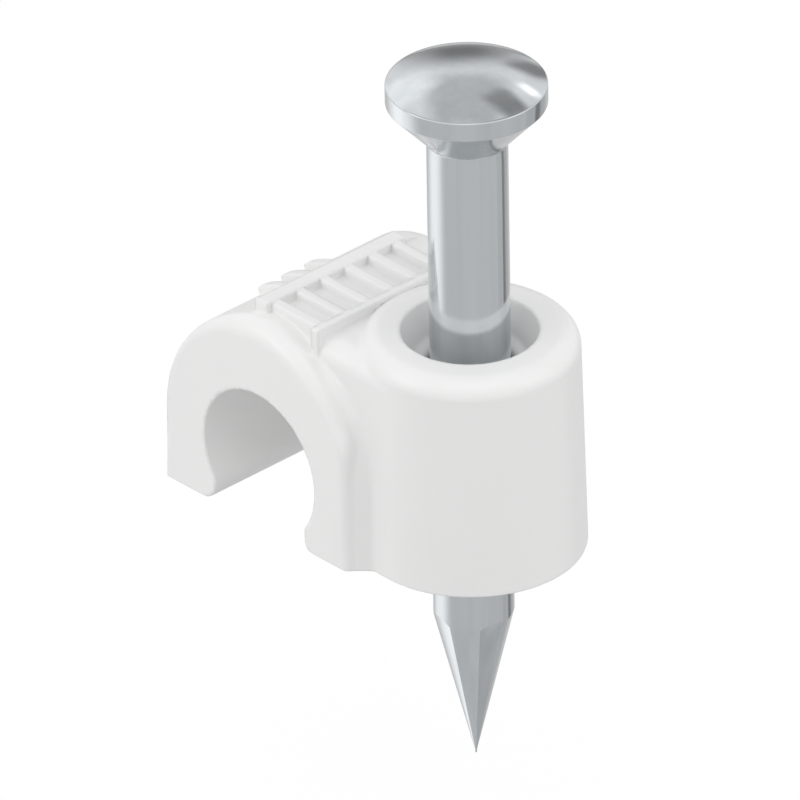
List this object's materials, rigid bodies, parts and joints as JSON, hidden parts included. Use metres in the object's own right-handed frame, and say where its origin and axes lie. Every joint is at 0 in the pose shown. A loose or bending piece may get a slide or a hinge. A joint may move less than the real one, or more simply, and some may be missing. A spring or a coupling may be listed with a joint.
{
  "type": "nail in cable clip",
  "caption": "Moulded saddle clip that holds a round cable against a wall, with a part-driven nail through the tapered boss beside its hook.",
  "frame": {"origin": "on the nail's axis, in the plane of the wall that the clip's flat base lies on", "axes": "+X from the hook towards the nail's boss, +Y along the cable, +Z away from the wall along the nail"},
  "size_m": [0.0102, 0.0062, 0.0196],
  "materials": {
    "white_plastic": "moulded white plastic with a soft, even sheen",
    "bright_zinc": "steel with a bright, mirror-like zinc plating"
  },
  "bodies": {
    "clip": {"clip_body": "white_plastic"},
    "nail": {"nail": "bright_zinc"}
  },
  "joints": [
    {"name": "nail_drive", "type": "slide", "parent": "clip", "child": "nail", "axis": [0, 0, -1], "range_m": [0, 0.006]}
  ]
}
